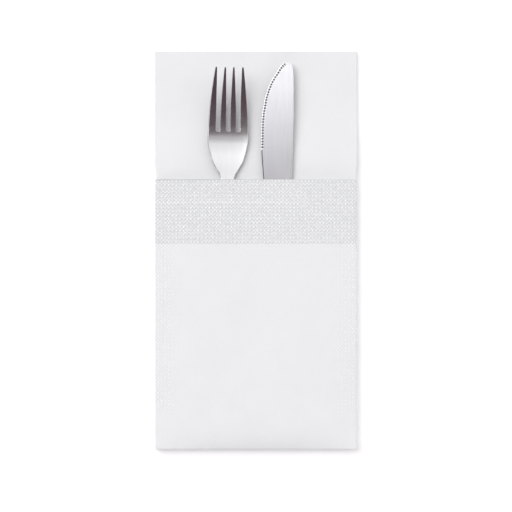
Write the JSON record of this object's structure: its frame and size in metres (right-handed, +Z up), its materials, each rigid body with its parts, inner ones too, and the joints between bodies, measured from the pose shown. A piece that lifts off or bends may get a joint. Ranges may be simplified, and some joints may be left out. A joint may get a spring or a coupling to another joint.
{
  "type": "cutlery pouch napkin",
  "caption": "White paper napkin folded into a flat pouch, with an embossed band at the mouth of its pocket and a steel table fork and table knife inside.",
  "frame": {"origin": "on the surface that the pouch lies on, under the middle of the folded pouch", "axes": "+X across the pouch towards its side with the cut edges, +Y along it towards the mouth of the pocket and the cutlery's heads, +Z up from the surface"},
  "size_m": [0.1204, 0.2378, 0.0156],
  "materials": {
    "white_paper": "matte",
    "fork_steel": "satin",
    "knife_steel": "satin"
  },
  "bodies": {
    "root": {"napkin": "white_paper", "fork": "fork_steel", "knife": "knife_steel"}
  },
  "joints": []
}
